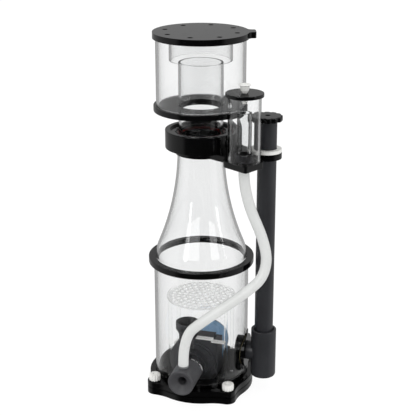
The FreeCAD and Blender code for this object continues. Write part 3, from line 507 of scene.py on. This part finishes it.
# An outline goes up from the node's low face and then down from its top face: each corner is its radius,
# its distance from that face and how far it is softened. "on" names the node whose middle is the axis.
turnedLooks = {
    "collarSocket": {
        "node": "collar_socket", "fromFoot": [(31.5, 0, 0.3), (34.2, 0, 0.3)],
        "fromTop": [(34.2, 0, 0.5), (33, 0, 0.5), (33, 6.5, 0.2), (29.95, 6.5, 0.3), (29.95, 17.5, 0.2),
                    (31.5, 17.5, 0.2)],
    },
    "bodyRing": {
        "node": "body_ring", "fromFoot": [(65, 0, 0.3), (72.2, 0, 0.9)],
        "fromTop": [(72.2, 0, 0.9), (62.5, 0, 0.6), (62.5, 4.2, 0.2), (65, 4.2, 0.2)],
    },
    "neckCollar": {
        "node": "neck_collar", "fromFoot": [(34.3, 0, 0.3), (47.7, 0, 0.8)],
        "fromTop": [(47.7, 0, 0.9), (41, 0, 0.7), (41, 3, 0.5), (34.3, 3, 0.3)],
    },
    "cupFloor": {
        "node": "cup_base_plate", "sawnWithin": 29.7, "fromFoot": [(29.65, 0, 0.3), (62.5, 0, 0.9)],
        "fromTop": [(62.5, 0, 0.9), (29.65, 0, 0.3)],
    },
    "silencerCap": {
        "node": "silencer_cap", "on": "silencer_cap", "around": 112,
        "fromFoot": [(3.55, 0, 0.2), (18, 0, 0.4), (18, 1.5, 0.2), (24.4, 1.5, 0.6)],
        "fromTop": [(24.4, 0, 0.8), (3.55, 0, 0.3)],
    },
    "airValveKnob": {
        "node": "air_valve_knob", "on": "silencer_cap", "around": 160, "ripple": scallops(24, 0.2, 7, 1),
        "fromFoot": [(0, 0, 0), (2.5, 0, 0.2), (3.5, 2, 0.4), (3.5, 14.6, 0.4), (5.1, 16.4, 1.2)],
        "fromTop": [(6.3, 1.8, 0.9), (7.9, 1.2, 0.3), (7.9, 0.6, 0.3), (7.3, 0, 0.5), (3, 0, 0.5),
                    (2.4, 0.8, 0.3), (0, 0.8, 0)],
    },
    "standpipeKnob": {
        "node": "standpipe_knob", "on": "standpipe_knob", "around": 240, "ripple": scallops(12, 1.9, 16, 5),
        "fromFoot": [(3.2, 0, 0.2), (10.1, 0, 0.3), (10.1, 8, 0.1), (19.5, 8, 0.6)],
        "fromTop": [(19.5, 0, 1.3), (3.2, 0, 0.5)],
    },
    "standpipeCollar": {
        "node": "standpipe_collar", "on": "standpipe_knob", "fromFoot": [(12.7, 0, 0.2), (19.5, 0, 0.8)],
        "fromTop": [(19.5, 0, 0.8), (12.7, 0, 0.3)],
    },
}
screwLook = {
    "around": 200, "ripple": scallops(12, 0.95, 6.5, 4),
    "fromFoot": [(0, 0, 0), (2.4, 0, 0.2), (3, 0.8, 0.3)],
    "fromTop": [(3, 9, 0.1), (8, 9, 0.7), (8, 0, 1.6), (2.6, 0, 0.6), (2.1, 1, 0.4), (0, 1, 0)],
}
for number in range(1, 5):
    screw = f"thumbscrew_{number}"
    turnedLooks[f"thumbscrewSkin{number}"] = {"node": screw, "on": screw, **screwLook}


def makeTurned(name, look):
    low, high = spanOf(look["node"])
    x, y, _ = middleOf(look["on"]) if "on" in look else (0, 0, 0)
    corners = [(r, low[2] + rise, size) for r, rise, size in look["fromFoot"]]
    corners += [(r, high[2] - drop, size) for r, drop, size in look["fromTop"]]
    closed = corners[0][0] > 0  # a piece without a bore has an open profile
    surface = lathe(softCorners(corners, closed), (x, y, 0), around=look.get("around", 144), closed=closed,
                    ripple=look.get("ripple"))
    piece = addPiece(name, surface, [look["node"]])
    if "sawnWithin" in look:
        blackenHole(piece, look["sawnWithin"])


def blackenHole(plate, reach):  # the wall of the plate's hole is sawn, not polished
    plate.data.materials.append(sawnBlack)
    middles = np.empty(3 * len(plate.data.polygons))
    plate.data.polygons.foreach_get("center", middles)
    inHole = np.hypot(middles[0::3], middles[1::3]) < reach * milli
    plate.data.polygons.foreach_set("material_index", inHole.astype(np.int32))


for name, look in turnedLooks.items():
    makeTurned(name, look)
print("turned pieces made:", len(turnedLooks))


# intake nozzle: funnel mouth, throat and barrel, from its seat to its mouth

nozzleLook = {
    "barrel": 17.8, "seat": 42, "seatBore": 8, "mouth": 15.6, "throat": 5.75, "throatFrom": 8,
    "throatTo": 12, "bore": 5, "boreFrom": 16,
}
nozzleTop = -spanOf("intake_nozzle")[0][1]
addPiece("intakeNozzle", lathe(softCorners([
    (nozzleLook["seatBore"], nozzleLook["seat"], 0.4), (nozzleLook["barrel"], nozzleLook["seat"], 0.4),
    (nozzleLook["barrel"], nozzleTop, 1.6), (nozzleLook["mouth"], nozzleTop, 0.6),
    (nozzleLook["throat"], nozzleTop - nozzleLook["throatFrom"], 1.2),
    (nozzleLook["throat"], nozzleTop - nozzleLook["throatTo"], 0.5),
    (nozzleLook["bore"], nozzleTop - nozzleLook["boreFrom"], 0.5),
]), (0, 0, middleOf("motor_housing")[2]), "front"), ["intake_nozzle"], nozzleGrey)

# the pump's outlet ends in a short cup
makeTurned("pumpOutlet", {
    "node": "pump_outlet_pipe", "on": "pump_outlet_pipe",
    "fromFoot": [(8, 0, 0.2), (10, 0, 0.2), (10, 8.1, 0.2), (13, 8.1, 0.3), (13, 11, 1), (15.5, 13, 1.2),
                 (16.5, 18, 2)],
    "fromTop": [(16.5, 0.6, 0.5), (15.9, 0, 0.5), (13.5, 0, 1), (8, 11.5, 2)],
})
print("nozzle and pump outlet made")


# CAD nodes whose shape is right keep it: their own finish, merged corners and softened edges

nodeLook = {"edge": 0.4, "sharpTurn": 35, "mergeReach": 0.00001}
nodeEdge = {"base_plate": 0.9, "body_flange": 0.9, "cup_lid": 0.9, "bracket_plate": 0.8, "standpipe": 0.3}
nodeFinish = {
    "bubble_plate": cloudyAcrylic, "bubble_plate_legs": cloudyAcrylic, "outlet_flange": blackAcrylic,
    "outlet_nut": blackAcrylic,
}


def finishNode(node):
    piece = frame["nodes"][node]
    for slot in piece.material_slots:
        slot.material = nodeFinish.get(node) or finishOf[slotOf[node]]
    merge = piece.modifiers.new("merge", "WELD")
    merge.merge_threshold = nodeLook["mergeReach"]
    softEdges(piece, nodeEdge.get(node, nodeLook["edge"]), nodeLook["sharpTurn"])
    evenNormals(piece)


replaced = {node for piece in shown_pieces() for node in piece.get("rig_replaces", [])}
for node in frame["nodes"]:
    if node not in replaced:
        finishNode(node)
print("CAD nodes finished")


# floor, backdrop and light

# The floor glows so that it stays pale under the object, and less to both sides of a wedge behind it.
floorLook = {
    "reach": 9.0, "steps": 33, "tint": (0.13, 0.13, 0.13), "tintTo": (0.12, 0.12, 0.12), "driftScale": 2.5,
    "rough": 0.85, "specular": 0.1, "glow": 0.91,
    "glowAside": 0.4, "fade": (0.38, 1.0), "spread": 0.2,
}


def plainFloor():
    mesh = bpy.data.meshes.new("floor")
    steps = floorLook["steps"]
    side = np.linspace(-floorLook["reach"], floorLook["reach"], steps)
    x, y = np.meshgrid(side, side, indexing="ij")
    points = np.stack([x, y, 0 * x], -1).reshape(-1, 3)
    i, j = np.meshgrid(np.arange(steps - 1), np.arange(steps - 1), indexing="ij")
    corner = i * steps + j
    faces = np.stack([corner, corner + steps, corner + steps + 1, corner + 1], -1).reshape(-1, 4)
    mesh.from_pydata(points.tolist(), [], faces.tolist())
    floor = newObject("floor", mesh)
    graph = Graph("paleFloor")
    tint = graph.mix(graph.noise(floorLook["driftScale"]), floorLook["tint"], floorLook["tintTo"])
    graph.feed(graph.shader, "Base Color", tint)
    alongView = graph.stretched((1, 1, 1), (0, 0, -math.radians(cameraLook["turn"])))
    across = graph.add("SeparateXYZ", Vector=alongView)
    widening = graph.math("MULTIPLY", graph.math("MAXIMUM", across.outputs["Y"], 0.0), floorLook["spread"])
    aside = graph.math("SUBTRACT", graph.math("ABSOLUTE", across.outputs["X"]), widening)
    glow = graph.span(aside, floorLook["glow"], floorLook["glowAside"], *floorLook["fade"])
    mirrored = graph.math("GREATER_THAN", graph.add("LightPath").outputs["Glossy Depth"], 0.5)
    shown = graph.math("SUBTRACT", 1.0, mirrored)  # reflections look through the floor at the studio
    graph.feed(graph.shader, "Alpha", shown)
    graph.feed(graph.shader, "Emission Strength", graph.math("MULTIPLY", glow, shown))
    graph.shader.inputs["Roughness"].default_value = floorLook["rough"]
    graph.shader.inputs["Specular IOR Level"].default_value = floorLook["specular"]
    graph.shader.inputs["Emission Color"].default_value = (1, 1, 1, 1)
    mesh.materials.append(graph.material)
    floor.visible_glossy = False


plainFloor()

# The room is a pale dome. Reflections see a darker studio: black behind the camera, grey at the sides
# and pale beyond the object, by the flat direction's cosine against the camera's.
room = {
    "pale": 1.0, "studio": ((0.0, 0.02), (0.17, 0.03), (0.27, 0.33), (0.5, 0.4), (0.72, 0.42), (1.0, 0.4)),
}


def paleRoom():
    world = bpy.data.worlds.new("room")
    bpy.context.scene.world = world
    world.use_nodes = True
    nodes, links = world.node_tree.nodes, world.node_tree.links
    direction = nodes.new("ShaderNodeTexCoord")
    flat = nodes.new("ShaderNodeVectorMath")
    flat.operation = "MULTIPLY"
    flat.inputs[1].default_value = (1, 1, 0)
    links.new(direction.outputs["Generated"], flat.inputs[0])
    level = nodes.new("ShaderNodeVectorMath")
    level.operation = "NORMALIZE"
    links.new(flat.outputs["Vector"], level.inputs[0])
    ahead = nodes.new("ShaderNodeVectorMath")
    ahead.operation = "DOT_PRODUCT"
    turn = math.radians(cameraLook["turn"])
    ahead.inputs[1].default_value = (-math.sin(turn), math.cos(turn), 0)
    links.new(level.outputs["Vector"], ahead.inputs[0])
    share = nodes.new("ShaderNodeMapRange")
    share.inputs["From Min"].default_value = -1
    links.new(ahead.outputs["Value"], share.inputs["Value"])
    studio = nodes.new("ShaderNodeValToRGB")
    stops = studio.color_ramp.elements
    stops.remove(stops[1])
    for index, (place, value) in enumerate(room["studio"]):
        stop = stops[0] if index == 0 else stops.new(place)
        stop.position, stop.color = place, (value, value, value, 1)
    links.new(share.outputs["Result"], studio.inputs["Fac"])
    path = nodes.new("ShaderNodeLightPath")
    mirrored = nodes.new("ShaderNodeMath")
    mirrored.operation = "GREATER_THAN"
    mirrored.inputs[1].default_value = 0.5
    links.new(path.outputs["Glossy Depth"], mirrored.inputs[0])
    either = nodes.new("ShaderNodeMix")
    either.data_type = "RGBA"
    links.new(mirrored.outputs["Value"], either.inputs["Factor"])
    either.inputs[6].default_value = (room["pale"],) * 3 + (1,)
    links.new(studio.outputs["Color"], either.inputs[7])
    links.new(either.outputs[2], nodes["Background"].inputs["Color"])


paleRoom()

# Softboxes by the turn from the camera's line, how far and high they stand, their width, height and power,
# and whether they light matt surfaces. The two wide ones only show as soft upright bands on the neck.
softboxes = {
    "wideLeft": (-27, 1.5, 0.85, 1.25, 0.75, 5.2, False),
    "wideRight": (37, 1.5, 0.85, 0.6, 0.75, 2.8, False),
    "leftStrip": (-40, 1.75, 0.8, 0.3, 1.0, 3, True),
    "rightStrip": (62, 1.72, 0.8, 0.24, 1.0, 4, True),
    "overhead": (-52, 0.5, 1.9, 0.7, 0.7, 5, True),
}
lampTarget = (0.02, 0, 0.26)
for name, (turn, reach, height, wide, tall, power, warms) in softboxes.items():
    lamp = bpy.data.lights.new(name, "AREA")
    lamp.shape, lamp.size, lamp.size_y, lamp.energy = "RECTANGLE", wide, tall, power
    light = newObject(name, lamp)
    around = math.radians(cameraLook["turn"] - 90 + turn)
    place = (reach * math.cos(around), reach * math.sin(around), height)
    light.location = place
    aimX, aimY, aimZ = np.array(lampTarget) - np.array(place)
    tilt, heading = math.atan2(math.hypot(aimX, aimY), -aimZ), math.atan2(aimY, aimX)
    light.rotation_euler = (tilt, 0, heading - math.pi / 2)
    light.visible_camera = False
    light.visible_diffuse = warms

bounces = 28  # enough to see through every clear wall
scene = bpy.context.scene
scene.view_settings.view_transform = "Standard"
scene.cycles.max_bounces = bounces
scene.cycles.transmission_bounces = bounces
scene.cycles.transparent_max_bounces = bounces
print("stage lit")
